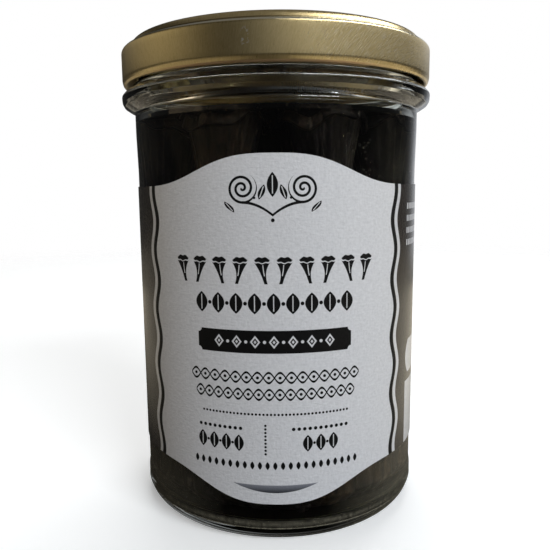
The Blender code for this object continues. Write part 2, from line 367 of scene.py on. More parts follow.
class Graph:
    """The nodes of one material."""

    def __init__(self, name, **sockets):
        self.material = bpy.data.materials.new(name)
        self.material.use_nodes = True
        self.tree = self.material.node_tree
        self.shader = self.tree.nodes["Principled BSDF"]
        for socket, value in sockets.items():
            self.feed(socket.replace("_", " ").title().replace("Ior", "IOR"), value)
        self.place = self.node("ShaderNodeTexCoord").outputs["Object"]

    def node(self, kind, settings=None, inputs=None):
        """A node with its settings made first and its sockets then given values or links."""
        made = self.tree.nodes.new(kind)
        for name, value in (settings or {}).items():
            setattr(made, name, value)
        for key, value in (inputs or {}).items():
            self.join(made.inputs[key], value)
        return made

    def join(self, socket, value):
        value = getattr(value, "socket", value)
        if isinstance(value, bpy.types.NodeSocket):
            self.tree.links.new(value, socket)
        elif value is not None:
            socket.default_value = value

    def maths(self, operation, *terms, clamp=False):
        made = self.node(
            "ShaderNodeMath", {"operation": operation, "use_clamp": clamp}, dict(enumerate(terms))
        )
        return Number(self, made.outputs[0])

    def axes(self):
        made = self.node("ShaderNodeSeparateXYZ", None, {0: self.place})
        return [Number(self, made.outputs[k]) for k in range(3)]

    def vector(self, x, y, z):
        return self.node("ShaderNodeCombineXYZ", None, {0: x, 1: y, 2: z}).outputs[0]

    def stretched(self, x, y, z):
        """The place with each axis scaled."""
        made = self.node(
            "ShaderNodeVectorMath", {"operation": "MULTIPLY"}, {0: self.place, 1: (x, y, z)}
        )
        return made.outputs[0]

    def noise(self, scale, detail=2, rough=0.5, vector=None, warp=0):
        inputs = {"Scale": scale, "Detail": detail, "Roughness": rough, "Distortion": warp}
        made = self.node("ShaderNodeTexNoise", None, {"Vector": vector or self.place, **inputs})
        return Number(self, made.outputs["Fac"])

    def mixed(self, share, first, second):
        """A colour between two others."""
        made = self.node(
            "ShaderNodeMix", {"data_type": "RGBA"}, {0: share, 6: colour(first), 7: colour(second)}
        )
        return made.outputs[2]

    def feed(self, socket, value):
        self.join(self.shader.inputs[socket], colour(value))

    def bump(self, height, distance, strength=1.0):
        """Relief from a height of 0 to 1 that stands this far out."""
        made = self.node(
            "ShaderNodeBump", None, {"Height": height, "Distance": distance, "Strength": strength}
        )
        self.feed("Normal", made.outputs[0])

    def round_the_jar(self, radius):
        """The way along the wall from the front and the height, both in millimetres."""
        x, y, z = self.axes()
        angle = self.maths("ARCTAN2", x, -y)
        return angle * (radius / MM), z / MM


def colour(value):
    """Three numbers made a colour with full alpha; anything else as it is."""
    if isinstance(value, tuple) and len(value) == 3 and all(isinstance(v, (int, float)) for v in value):
        return (*value, 1)
    return value


# ---------------------------------------------------------------- finishes


def clear_glass(name, ior):
    """Moulded flint glass, a little green in the thick of it; at the heel, wear and painted light: an olive
    band of painted glow, a painted highlight on the seam and painted glints low on the sides.
    """
    g = Graph(name, base_color=(0.93, 0.95, 0.91), roughness=0.0, ior=ior, transmission_weight=1.0)
    waves = g.noise(60, 2, 0.4, g.stretched(1, 1, 0.5))
    g.bump(waves, 0.00012, 0.35)
    x, y, z = g.axes()
    along, up = g.round_the_jar(BODY_R)
    streak = g.noise(1.0, 3, 0.6, g.vector(along * 1.6, 0, up * 0.7))
    # Wear and painted glow: a matt olive band above the heel seam, standing in for light through the thick
    # glass.
    rubbed_band_painted_glow = z.within(HEEL_SEAM_Z + 0.4 * MM, 5 * MM, 0.9 * MM) * (streak * 0.75 - 0.21)
    # Wear and a painted highlight: a pale line along the heel seam.
    seam = abs(z - HEEL_SEAM_Z).below(0.1 * MM, 0.12 * MM) * (streak * 0.5 + 0.15)
    # Dust and painted glints: pale patches low on the sides of the heel.
    dust_and_painted_glints = z.below(14 * MM, 9 * MM) * abs(along).above(18, 16) * (streak * 0.24 - 0.015)
    scuffs_and_painted_light = reach(x, y).above(29 * MM, 0.3 * MM) & (rubbed_band_painted_glow | seam | dust_and_painted_glints)
    # These places mix in a matt olive diffuse: scuffed glass and painted light together.
    dull = g.node("ShaderNodeBsdfDiffuse", None, {"Color": (0.5, 0.465, 0.35, 1)})
    worn = g.node("ShaderNodeMixShader", None, {0: scuffs_and_painted_light, 1: g.shader.outputs[0], 2: dull.outputs[0]})
    g.join(g.tree.nodes["Material Output"].inputs[0], worn.outputs[0])
    return g.material


def gold_lacquer():
    """Brushed tinplate under gold lacquer, with the marks the sheet had before it was drawn.

    The skirt is laid flat again: a place at radius r and depth d under the top goes to radius
    r + d in the sheet, where the brush marks are straight and parallel. On the drawn cap they
    stand upright at the ends of that direction and slant between. A pale band on the shoulder and
    a coppery band at the bottom of the curl are painted highlights; a dark line at the base of the
    bead is painted shade.
    """
    g = Graph("gold_lacquer", metallic=1.0)
    x, y, z = g.axes()
    wide = (x * x + y * y) ** 0.5 | 1e-5
    spread = 1 + (LID_TOP_Z - z) / wide
    across, along = x * spread, y * spread
    lean = math.radians(-18)
    u = (across * math.cos(lean) + along * math.sin(lean)) / MM
    v = (along * math.cos(lean) - across * math.sin(lean)) / MM
    brushed = g.noise(1.0, 2, 0.5, g.vector(u * 3.6, v * 0.5, 0))
    fine = g.noise(1.0, 2, 0.6, g.vector(u * 8.5, v * 1.6, 3))
    broad = g.noise(1.0, 2, 0.5, g.vector(u * 0.5, v * 0.1, 7))
    worn = (x / wide).within(0.3, 0.8, 0.35) & y.below(0)
    cuts = g.noise(1.0, 0, 0.5, g.vector(u * 9, v * 0.5, 11)).above(0.62, 0.2) & worn
    chipped = reach((x / MM + 4.3) * 1.4, (z - 93.4 * MM) / MM * 0.7).below(1, 0.6) & y.below(0)
    rubs = g.noise(1500, 2, 0.6).above(0.56, 0.05) & chipped * 0.8
    marks = brushed * 0.4 + fine * 0.45 + broad * 0.15
    gold = g.mixed((marks - 0.32) * 2.6, (0.5, 0.375, 0.168), (0.69, 0.55, 0.287))
    # Painted highlight: a pale silvery band along the shoulder.
    shoulder = z.within(SHOULDER_Z - 0.4 * MM, SHOULDER_Z + 0.3 * MM, 0.15 * MM)
    gold = g.mixed(shoulder * 0.7, gold, (0.72, 0.7, 0.6))
    # Painted shade: a dark line in the groove at the base of the bead.
    bead_base_painted_shade = z.within(SHOULDER_Z + 0.32 * MM, SHOULDER_Z + 0.6 * MM, 0.12 * MM) & wide.above(29 * MM, 0.5 * MM)
    gold = g.mixed(bead_base_painted_shade * (marks * 1.6 - 0.1), gold, (0.1, 0.075, 0.035))
    # Painted highlight: a coppery band along the bottom of the curl, front and back; it is rougher there too.
    edge = z.below(CURL_Z - 0.22 * MM, 0.2 * MM) & abs(x).below(18 * MM, 10 * MM)
    coppery = g.mixed(edge, g.mixed((cuts * 0.3) | rubs, gold, (0.9, 0.84, 0.7)), (0.72, 0.5, 0.3))
    g.feed("Base Color", coppery)
    g.feed("Roughness", 0.23 + marks * 0.12 - cuts * 0.05 + edge * 0.3)
    g.bump(marks, 0.00003, 0.7)
    return g.material


def sealing_compound():
    g = Graph("sealing_compound", roughness=0.55)
    speck = g.noise(1800, 3, 0.6)
    g.feed("Base Color", g.mixed(speck, (0.62, 0.58, 0.49), (0.72, 0.69, 0.6)))
    g.bump(speck, 0.00005, 0.5)
    return g.material


def brine_side():
    """The brine where it wets the glass: it bends nothing there and only darkens."""
    g = Graph("brine_side", base_color=(0.62, 0.55, 0.46), roughness=0.0, ior=1.0, transmission_weight=1.0)
    return g.material


def brine_top():
    amber = (0.45, 0.36, 0.26)
    g = Graph("brine_top", base_color=amber, roughness=0.0, ior=BRINE_IOR, transmission_weight=1.0)
    return g.material


def black_flesh():
    """Wet trumpet flesh: near black, from blue-black to brown and olive, darker towards the top, with thin
    pale streaks of painted sheen.
    """
    g = Graph("black_flesh", ior=1.36)
    upright = g.stretched(1, 1, 0.14)
    region = g.noise(52, 1, 0.5, g.stretched(1, 1, 0.45))
    streak = g.noise(330, 4, 0.6, upright, warp=0.8)
    mottle = g.noise(900, 4, 0.65, g.stretched(1, 1, 0.5))
    z = g.axes()[2]
    tone = (streak * 1.9 - 0.55) * (1 - z.above(73 * MM, 9 * MM) * 0.75)
    brown = g.mixed(tone, (0.008, 0.006, 0.005), (0.2, 0.135, 0.095))
    grey = g.mixed(tone, (0.007, 0.007, 0.007), (0.1, 0.103, 0.097))
    night = g.mixed(tone, (0.004, 0.0035, 0.006), (0.04, 0.033, 0.052))
    patches = g.mixed(region.above(0.56, 0.06), g.mixed(region.above(0.42, 0.06), grey, night), brown)
    # Painted sheen: thin pale streaks standing in for light on the folds.
    crease_painted_sheen = streak.above(0.66, 0.1) & mottle.above(0.5, 0.2) & z.below(80 * MM, 6 * MM)
    g.feed("Base Color", g.mixed(crease_painted_sheen * 0.5, patches, (0.2, 0.165, 0.13)))
    g.feed("Roughness", 0.3 + mottle * 0.3)
    g.bump(streak * 0.6 + mottle * 0.4, 0.0005, 0.9)
    return g.material


# ---------------------------------------------------------------- printed label


def bordered_wave(g, along, up):
    """The wavy side border: distance outwards from the edge of the pale panel, in millimetres."""
    swing = g.maths("COSINE", (up - 56.2) * (TURN / 11.65))
    return abs(along) - (PANEL_HALF - up * 0.012 + swing * 0.66)


def line_at(distance, width):
    """A line of this width where the distance is 0."""
    return abs(distance).below(width / 2)


def reach(x, y):
    """The distance from the middle of a figure."""
    return (x * x + y * y) ** 0.5


def row(x, pitch, count):
    """A row of equal figures: where the row is, and each figure's own way across."""
    shift = 0 if count % 2 else pitch / 2
    return abs(x).below(pitch * count / 2, 0.01), (x + shift).wrapped(pitch)


def between(x, pitch, count):
    """The places midway between the figures of a row, ends left out."""
    shift = pitch / 2 if count % 2 else 0
    return abs(x).below(pitch * (count - 1) / 2, 0.01), (x + shift).wrapped(pitch)


def dots(x, y, pitch, count, radius):
    inside, side = row(x, pitch, count)
    return inside & reach(side, y).below(radius, 0.05)


def trumpet(g, x, y, height, half):
    """A drawn trumpet on a bent stem that starts at 0.

    Its half-width grows as a power of its height, and a wavy pale line parts the dark mouth from it.
    """
    share = g.maths("MULTIPLY", y, 1 / height, clamp=True)
    x = x + (1 - share) * (1 - share) * 0.7
    side = abs(x)
    flare = 0.3 + (half * 0.94 - 0.3) * share**2.4
    body = side.below(flare, 0.06) & y.within(0, height)
    groove = line_at(x + 0.12, 0.16) & y.within(height * 0.34, height * 0.8)
    lip_y = y - height - 0.05 + g.maths("COSINE", x * (3 * math.pi / half)) * 0.09
    mouth = reach(x / half, lip_y / 0.66)
    return (body & (1 - groove) & (1 - mouth.below(1.0, 0.08))) | mouth.below(0.74, 0.1)


def leaf(x, y, half_high, half_wide):
    """A solid upright leaf between two arcs, with a pale vein."""
    rise = abs(y) / half_high
    side = abs(x)
    blade = side.below((1 - rise * rise) * half_wide, 0.05) & rise.below(1.0, 0.02)
    vein = side.below(0.09, 0.05) & rise.below(0.72, 0.03)
    return blade & (1 - vein)


def lozenge(x, y, half_wide, half_high):
    return abs(x) / half_wide + abs(y) / half_high


def twist(g, x, y, half, pitch, count, line):
    """Two waves that cross like a two-strand twist, with a bead in each eye."""
    swing = g.maths("SINE", x * (TURN / pitch)) * half
    strands = line_at(y - swing, line) | line_at(y + swing, line)
    _, eye = row(x + pitch / 4, pitch / 2, 1)
    bead = reach(eye, y).below(half * 0.3, 0.05)
    return (strands | bead) & abs(x).below(pitch * count / 2)


def scroll(g, x, y, pitch, turns, line):
    """A spiral line that winds out clockwise, a pitch each turn, and ends at the bottom."""
    away = reach(x, y)
    turn = g.maths("ARCTAN2", y, x) * (-pitch / TURN)
    return line_at((away - turn).wrapped(pitch), line) & away.below(pitch * (turns + 0.25) + line / 2)


def flourish(g, along, up):
    """Two mirrored scrolls on stems that meet in the middle, under a bud between two leaves."""
    side = abs(along)
    scrolls = scroll(g, side - 5.5, up - 68.3, 1.12, 2, 0.46)
    stem = line_at(up - 65.78 + (5.5 - side) * (5.5 - side) * 0.075, 0.5) & side.below(5.5)
    bud = leaf(along, up - 68.9, 2.2, 1.0)
    leaves = leaf(side - 1.95 + (up - 67.6) * 0.35, up - 67.6, 1.35, 0.6)
    sprig = leaf(side - 7.9 - (up - 65.0) * 0.9, up - 65.0, 1.0, 0.6)
    beads = reach(side, up - 62.6).below(0.34, 0.06) | reach(side - 3.3, up - 66.6).below(0.25, 0.06)
    return scrolls | stem | bud | leaves | sprig | beads


def title(g, along, up):
    """Ten drawn trumpets in mirrored pairs, and a row of leaves and beads under them."""
    inside, pair = row(along, 8.12, 5)
    trumpets = inside & trumpet(g, abs(pair) - 2.03, up - 51.1, 4.35, 1.88)
    inside, x = row(along, 3.5, 9)
    leaves = inside & leaf(x, up - TITLE_LEAVES_UP, 1.95, 1.25)
    inside, x = between(along, 3.5, 9)
    beads = inside & reach(x, up - TITLE_LEAVES_UP).below(0.36, 0.06)
    return trumpets | leaves | beads


def banner(along, up):
    """The dark banner with notched corners, and pale lozenges and beads along it."""
    x, y = abs(along), abs(up - BANNER_UP)
    half_long, half_high = BANNER_HALF
    plate = x.below(half_long) & y.below(half_high)
    plate = plate & reach(x - half_long, y - half_high).above(0.75, 0.05)
    inside, side = row(along, 3.5, 7)
    lattice = lozenge(side, up - BANNER_UP, 0.95, 1.2)
    figures = inside & (lattice.within(0.62, 1.0, 0.1) | lattice.below(0.28, 0.1))
    inside, side = between(along, 3.5, 7)
    return plate & (1 - (figures | (inside & reach(side, up - BANNER_UP).below(0.3, 0.06))))


def tally(along, up, count, width):
    """A row of bold leaves under a row of beads."""
    inside, x = row(along, 2.55, count)
    leaves = inside & leaf(x, up - TALLY_UP, 1.65, 0.95)
    inside, x = between(along, 2.55, count)
    beads = inside & reach(x, up - TALLY_UP).below(0.27, 0.06)
    return leaves | beads | dots(along, up - 23.6, 1.05, width, 0.34)


def small_leaves(x, y):
    inside, x = row(x, 1.46, 23)
    return inside & abs(x).below((1 - y * y / 0.64) * 0.4, 0.06) & abs(y).below(0.8, 0.05)


def front_ink(g, along, up):
    """All the dark figures of the front panel."""
    return (
        flourish(g, along, up)
        | title(g, along, up)
        | banner(along, up)
        | twist(g, along, up - 33.6, 0.98, 4.2, 8, 0.44)
        | twist(g, along, up - 30.35, 0.98, 3.95, 8, 0.44)
        | dots(along, up - 26.5, 0.708, 41, 0.235)
        | dots(up - 21.55, along + 1.8, 0.7, 9, 0.235)
        | tally(along + 10.75, up, 4, 9)
        | tally(along - 8.75, up, 3, 11)
        | small_leaves(along, up - 16.4)
    )


def crescent(along, up):
    """The long lens between two arcs, and how far down it a place is."""
    half = 8.25
    bow = 1 - along * along / half**2
    top = CRESCENT_TOP - bow * 0.14
    inside = up.below(top, 0.1) & up.above(CRESCENT_TOP - bow * 1.66, 0.05) & abs(along).below(half)
    return inside, (top - up) / 1.5


def plaques(along, up):
    """The bare pale plaques and the ruled ticks of the side fields."""
    x = along - 39.5
    oval = reach(x / PLAQUE_HALF, (up - PLAQUE_UP) / 5.2).below(1, 0.02)
    arched = oval & abs(x).below(PLAQUE_HALF) & abs(up - PLAQUE_UP).below(3.6)
    panel = x.within(-PLAQUE_HALF, 14) & up.within(13.6, 27.6)
    inside, line = row(up - 60.8, 2.45, 4)
    _, tick = row(along, 1.05, 1)
    ticks = inside & abs(line).below(0.6) & abs(tick).below(0.3, 0.08)
    right = ticks & x.within(-7.4, 16)
    inside, line = row(up - 44, 1.9, 17)
    left = inside & abs(line).below(0.45) & abs(tick).below(0.3, 0.08) & (along + 50).within(-14, 7.5)
    return arched | panel | right | left


def printed_paper():
    """The label's print: pale front panel, wavy border, dark side fields and drawn ornament."""
    g = Graph("printed_paper", ior=1.25, coat_roughness=0.22, coat_ior=1.5)
    along, up = g.round_the_jar(LABEL_R)
    out = bordered_wave(g, along, up)
    panel = out.below(0)
    white_stripe = out.within(1.32, 2.45)
    ink = front_ink(g, along, up)
    lens, depth = crescent(along, up)
    grain = g.noise(1.0, 3, 0.65, g.vector(along * 1.7, 0, up * 1.9))
    weave = g.noise(1.0, 1, 0.5, g.vector(along * 0.8, 0, up * 2.6)) * 0.6 + (
        g.noise(1.0, 1, 0.5, g.vector(along * 2.6, 5, up * 0.8)) * 0.4
    )
    cloud = g.noise(45, 2, 0.5)
    tooth = grain * 0.5 + weave * 0.5
    pale = g.mixed(tooth * 2 - 0.55 + cloud * 0.15, (0.51, 0.515, 0.535), (0.725, 0.73, 0.755))
    black = g.mixed(grain, (0.0025, 0.0025, 0.003), (0.006, 0.006, 0.006))
    shaded = g.mixed(depth, (0.2, 0.21, 0.24), (0.016, 0.017, 0.021))
    front = g.mixed(ink, g.mixed(lens, pale, shaded), black)
    field = g.mixed(grain, (0.01, 0.007, 0.006), (0.02, 0.015, 0.012))
    sides = g.mixed(white_stripe | plaques(along, up), field, pale)
    g.feed("Base Color", g.mixed(panel, g.mixed(out.below(1.32), sides, black), front))
    g.feed("Roughness", 0.5 + grain * 0.1)
    g.feed("Coat Weight", out.above(1.1))
    g.bump(tooth, 0.00016, 0.9)
    return g.material


# ---------------------------------------------------------------- pieces


def jar_outline():
    """From under the push-up, up the outside, over the rim and down the inside.

    The heel is a quarter circle that carries the fine seam of the mould's base plate, a small bell
    of its height.
    """
    base = corner_arcs([
        (0, PUSH_UP, 0),
        (10 * MM, PUSH_UP * 0.84, 30 * MM),
        (18 * MM, PUSH_UP * 0.5, 20 * MM),
        (FOOT_IN_R - 0.7 * MM, 0.2 * MM, 0.8 * MM),
        (FOOT_IN_R + 0.2 * MM, 0, 0.5 * MM),
        (BODY_R - HEEL_R, 0, 0),
    ])
    turn = np.linspace(0, math.pi / 2, 40)
    heel_z = HEEL_R * (1 - np.cos(turn))
    seam = 0.1 * MM * np.exp(-(((heel_z - HEEL_SEAM_Z) / (0.16 * MM)) ** 2))
    heel = np.stack((BODY_R - HEEL_R + HEEL_R * np.sin(turn) + seam, heel_z), axis=-1)
    body = [
        (BODY_R, HEEL_R, 0),
        (BODY_R, PANEL_LOW_Z - 1.5 * MM, 2 * MM),
        (PANEL_R, PANEL_LOW_Z, 2 * MM),
        (PANEL_R, PANEL_HIGH_Z - 4 * MM, 60 * MM),
        (BODY_R, PANEL_HIGH_Z + 4 * MM, 60 * MM),
        (BODY_R, RING_LOW_Z, 0.5 * MM),
    ]
    ring = [
        (BODY_R + 1.1 * MM, RING_LOW_Z + 0.55 * MM, 0.6 * MM),
        (RING_R - 0.5 * MM, RING_LOW_Z + 1.2 * MM, 0.5 * MM),
        (RING_R - 0.12 * MM, RING_LOW_Z + 1.9 * MM, 0.5 * MM),
        (RING_R, RING_HIGH_Z - 1.2 * MM, 0.8 * MM),
        (RING_R - 1 * MM, RING_HIGH_Z - 0.15 * MM, 0.8 * MM),
        (NECK_R + 0.9 * MM, RING_HIGH_Z, 0.5 * MM),
    ]
    neck = [
        (NECK_R, NECK_Z, 0.6 * MM),
        (NECK_R, RIM_Z, 0.9 * MM),
        (INNER_R, RIM_Z, 0.9 * MM),
    ]
    inside = [
        (INNER_R, FLOOR_Z, INNER_HEEL_R),
        (INNER_R * 0.4, FLOOR_Z + FLOOR_RISE * 0.8, 20 * MM),
        (0, FLOOR_Z + FLOOR_RISE, 0),
    ]
    wall = refined(corner_arcs(body + ring + neck + inside, 8), 1.2 * MM)
    return np.vstack((refined(base, 1.5 * MM)[:-1], heel[:-1], wall))


def thread_height(angle, z):
    """How far the thread stands out: a raised cosine across each ridge, which climbs LEAD a turn."""
    turn = np.mod(angle - THREAD_FRONT, TURN / STARTS)
    middle = THREAD_LOW_Z + LEAD * turn / TURN
    ends = smooth_step(turn / 0.12) * smooth_step((THREAD_SPAN - turn) / 0.12)
    return THREAD_OUT * ends * hump((z - middle) / THREAD_HALF) ** 0.6


def jar_shape(r, z, angle):
    """Adds the thread to the neck, fine seams where the mould halves met, and uneven inner glass."""
    outside = r > INNER_R + 0.6 * MM
    on_neck = outside & (z > NECK_Z + 0.6 * MM) & (z < RIM_Z - 1 * MM)
    r = r + np.where(on_neck, thread_height(angle, z), 0)
    off = np.mod(angle - SEAMS[0] + math.pi / 2, math.pi) - math.pi / 2
    seam = np.exp(-((off / 0.007) ** 2)) - 1.6 * np.exp(-(((angle - np.mod(NOTCH, TURN)) / 0.011) ** 2))
    r = r + np.where(outside & (z > RING_LOW_Z) & (z < NECK_Z), 0.00009 * seam, 0)
    wavy = np.sin(3 * angle + 60 * z) + 0.6 * np.sin(7 * angle - 140 * z + 1)
    wavy = wavy + 0.5 * np.sin(300 * z + 2 * angle)
    inner_wall = ~outside & (z > FLOOR_Z + 4 * MM) & (z < RIM_Z - 3 * MM)
    return r + np.where(inner_wall, 0.00007 * wavy, 0), z


def glass_jar():
    outline = jar_outline()
    points, faces = turned(outline, jar_shape)
    looks = (clear_glass("clear_glass", GLASS_IOR), clear_glass("wetted_glass", WETTED_IOR))
    made = piece("jar_glass", points, faces, looks, "jar", ["glass_jar"])
    mesh = made.data
    middles, normals = face_values(mesh, "center"), face_values(mesh, "normal")
    wide = np.hypot(middles[:, 0], middles[:, 1])
    inward = (normals[:, :2] * middles[:, :2]).sum(1) < 0
    floor = (normals[:, 2] > 0.2) & (middles[:, 2] < 12 * MM) & (wide < INNER_R)
    wetted = ((inward & (wide < INNER_R + 0.3 * MM) & (middles[:, 2] > 4 * MM)) | floor) & (
        middles[:, 2] < BRINE_TOP_Z
    )
    mesh.polygons.foreach_set("material_index", wetted.astype(np.int32))
    mesh.update()


def lid_outline():
    """Top face from the middle out, over the bead and the shoulder, down the skirt, round the curl
    and back inside."""
    panel_z = LID_TOP_Z - 1 * MM
    button_z = panel_z + 0.5 * MM
    top = [
        (0, button_z, 0),
        (9 * MM, button_z, 6 * MM),
        (11.5 * MM, panel_z, 2 * MM),
        (24.7 * MM, panel_z, 0.8 * MM),
        (26 * MM, LID_TOP_Z - 0.05 * MM, 0.8 * MM),
        (30.65 * MM, LID_TOP_Z, 1.3 * MM),
        (31.25 * MM, SHOULDER_Z + 0.1 * MM, 0.1 * MM),
    ]
    skirt = [
        (31.35 * MM, SHOULDER_Z, 0.1 * MM),
        (LID_R, SHOULDER_Z, 1.3 * MM),
        (LID_R, CURL_Z + 0.5 * MM, 2 * MM),
        (LID_R - 0.22 * MM, CURL_Z - 0.2 * MM, 0.4 * MM),
        (LID_R - CURL_R, CURL_Z - CURL_R, 0.3 * MM),
        (LID_R - 2 * CURL_R, CURL_Z - CURL_R, 0.3 * MM),
        (LID_R - 2 * CURL_R, CURL_Z + 0.45 * MM, 0.3 * MM),
    ]
    inner_r = LID_R - SHEET
    inside = [
        (inner_r, CURL_Z + 1.5 * MM, 0.3 * MM),
        (inner_r, SHOULDER_Z - SHEET, 0.9 * MM),
        (30.75 * MM, SHOULDER_Z - SHEET, 0.1 * MM),
        (30.5 * MM, LID_TOP_Z - SHEET, 0.8 * MM),
        (26.3 * MM, LID_TOP_Z - SHEET, 0.6 * MM),
        (25 * MM, panel_z - SHEET, 0.6 * MM),
        (11.6 * MM, panel_z - SHEET, 2 * MM),
        (9 * MM, button_z - SHEET, 6 * MM),
        (0, button_z - SHEET, 0),
    ]
    return refined(corner_arcs(top + skirt + inside, 7), 0.9 * MM)


def lug_shape(r, z, angle):
    """Presses the curl inwards and flat at the four lugs, each a smooth step as wide as the lug."""
    middle = THREAD_FRONT + LUG_AHEAD
    off = np.mod(angle - middle + TURN / 8, TURN / STARTS) - TURN / 8
    pressed = smooth_step((LUG_SPAN / 2 - np.abs(off)) / 0.05 + 0.5)
    inner_edge = (r < LID_R - CURL_R) & (z < CURL_Z + 0.7 * MM)
    pulled = LUG_IN_R + (r - (LID_R - 2 * CURL_R)) * 1.6
    flat = np.clip(z, LUG_LOW_Z, LUG_HIGH_Z)
    r = np.where(inner_edge, r + (np.minimum(pulled, r) - r) * pressed, r)
    z = np.where(inner_edge, z + (flat - z) * pressed, z)
    return r, z


def lid():
    points, faces = turned(lid_outline(), lug_shape, LID_COLUMNS)
    piece("lid_cap", points, faces, [gold_lacquer()], "lid", ["lid"])


def bell(along, spread):
    """A smooth bell: 1 in the middle, falling as exp of minus the cube of the way out."""
    return np.exp(-((np.abs(along) / spread) ** 3))


def label():
    """The paper as a sheet round the jar; its height at each angle runs from a dipping lower edge
    to an arched upper one."""
    half = math.pi - LABEL_GAP / 2 / LABEL_R
    angle = np.linspace(-half, half, LABEL_COLUMNS)
    along = angle * LABEL_R
    low = LABEL_BASE_Z - LABEL_DIP * bell(along, DIP_SPREAD)
    high = LABEL_TOP_Z + LABEL_ARCH * bell(along, ARCH_SPREAD)
    level = low + (high - low) * np.linspace(0, 1, LABEL_ROWS)[:, None]
    outer, inner = around(LABEL_R, angle, level), around(LABEL_R - LABEL_THICK, angle, level)
    points, faces, rim = closed_sheet(outer, inner)
    edge = Graph("paper_edge", base_color=(0.72, 0.72, 0.73), roughness=0.7).material
    made = piece(
        "label_paper", points, faces, (printed_paper(), edge), "jar", ["label"]
    )
    made.data.set_sharp_from_angle(angle=math.radians(40))
    index = np.zeros(len(faces), np.int32)
    index[-rim:] = 1
    made.data.polygons.foreach_set("material_index", index)


def brine():
    """The liquid, a full turned body with a meniscus that climbs the glass."""
    r = INNER_R - 0.12 * MM
    corners = [
        (0, FLOOR_Z + FLOOR_RISE + 0.1 * MM, 0),
        (INNER_R * 0.4, FLOOR_Z + FLOOR_RISE * 0.8 + 0.1 * MM, 20 * MM),
        (r, FLOOR_Z + 0.1 * MM, INNER_HEEL_R),
        (r, BRINE_TOP_Z + 0.9 * MM, 0.1 * MM),
        (r - 1.4 * MM, BRINE_TOP_Z, 1.2 * MM),
        (0, BRINE_TOP_Z, 0),
    ]
    points, faces = turned(refined(corner_arcs(corners, 6), 2 * MM))
    made = piece("brine_fill", points, faces, (brine_side(), brine_top()), "jar", ["brine"])
    mesh = made.data
    middles = face_values(mesh, "center")
    top = (middles[:, 2] > BRINE_TOP_Z - 0.3 * MM) & (np.hypot(middles[:, 0], middles[:, 1]) < r - 0.02 * MM)
    mesh.polygons.foreach_set("material_index", top.astype(np.int32))
    mesh.update()


def trumpet_points(number, tier, place, rng):
    """One trumpet as a surface of (share of its length, turn).

    Its half-widths grow as a power of the share from stem to mouth, and the rim waves up and down
    and turns in. Sideways widths are bent round the jar's axis, and the radius is held softly
    inside the glass, so that an outer wall lies along it. Folds, each a sharp crest of a sine
    of the turn, then sink between the places that touch.
    """
    share = np.linspace(0, 1, TRUMPET_ROWS)[:, None]
    turn = (np.arange(TRUMPET_COLUMNS) * TURN / TRUMPET_COLUMNS)[None, :]
    in_middle = place == RING_COUNT
    out_half, side_half, away = MOUTH_OUT, MOUTH_SIDE, MOUTH_AWAY
    if in_middle:
        out_half = side_half = MIDDLE_MOUTH_R
    grow = share**1.7

    def waves(counts, drift):
        return sum(
            rng.uniform(0.5, 1) * np.sin(k * turn + rng.uniform(0, TURN) + rng.uniform(-drift, drift) * share)
            for k in counts
        )

    broad = waves((2, 3, 5), 2) / 3
    crests = 1 - np.abs(waves((9, 13, 17), 2.5)) / 2.4
    fine = 1 - np.abs(waves((24, 31, 43), 4)) / 2.4
    width = 1 - 0.1 * share * (1 + broad)
    stem = 2.3
    outward = (stem + (out_half - stem) * grow) * width * np.cos(turn)
    sideways = (stem + (side_half - stem) * grow) * width * np.sin(turn)
    lean = (1 - share) ** 1.5
    outward = outward + rng.uniform(0, 4.5) * lean
    sideways = sideways + rng.uniform(-2.5, 2.5) * lean
    upward = -1 if number in MOUTH_DOWN else 1
    low, high = TIER_LOW_Z[tier] / MM, TIER_HIGH_Z[tier] / MM
    start = low - STEM_DROP * (tier == 0) if upward > 0 else high
    end = high if upward > 0 else low - STEM_DROP * (tier == 0)
    swell = 1.1 * np.sin(3 * turn + rng.uniform(0, TURN))
    ripple = 0.7 * np.sin(7 * turn + rng.uniform(0, TURN))
    ruffle = grow * (swell + ripple)
    reached = np.minimum(share / 0.94, 1) - 0.05 * smooth_step((share - 0.94) / 0.06)
    z = start + (end - start) * reached + upward * ruffle * share**3
    sunk = (0.75 * (1 - crests) + 0.3 * (1 - fine)) * (0.35 + 0.65 * share)
    if in_middle:
        radius = 1 - sunk / 8
        x, y = outward * radius, sideways * radius
        return np.stack((x, y, np.broadcast_to(z, x.shape)), axis=-1) * MM
    angle = TURN * (place + 0.5 * tier) / RING_COUNT + sideways / away
    soft = 0.5
    held = WALL_R - soft * np.log1p(np.exp((WALL_R - away - outward) / soft))
    held = held - sunk
    low_r = INNER_R / MM - INNER_HEEL_R / MM * (1 - smooth_step((z - FLOOR_Z / MM) / 4)) - 0.6
    r = np.clip(np.minimum(held, low_r), 0.3, WALL_R)
    return around(r * MM, angle, np.broadcast_to(z, r.shape) * MM)


def mushrooms():
    look = black_flesh()
    number = 0
    for tier in range(TIERS):
        for place in range(RING_COUNT + 1):
            number += 1
            rng = np.random.default_rng(number)
            points, faces = capped(trumpet_points(number, tier, place, rng))
            name, node = f"trumpet_{number:02d}", f"mushroom_{number:02d}"
            made = piece(name, points, faces, [look], "jar", [node])
            thickened(made, TRUMPET_THICK)
    flesh_bed(look)
    flesh_core(look)


def core_shape(r, z, angle):
    """Creases, each a sharp crest of a sine of the turn, and a waist that waves with the height."""
    creases = 1.1 * np.abs(np.sin(5 * angle + 90 * z)) + 0.6 * np.abs(np.sin(11 * angle - 60 * z + 1))
    waist = 0.7 * np.sin(170 * z + 2 * angle)
    return r - (creases + waist) * MM * r / CORE_R, z


def flesh_core(look):
    """The crumpled flesh that fills the middle, between the whole trumpets."""
    low = FLOOR_Z + FLOOR_RISE + 2 * MM
    corners = [(0, low, 0), (CORE_R, low, 3 * MM), (CORE_R, CORE_TOP_Z, 4 * MM), (0, CORE_TOP_Z, 0)]
    points, faces = turned(refined(corner_arcs(corners), 2 * MM), core_shape, CORE_COLUMNS)
    piece("flesh_core", points, faces, [look], "jar")


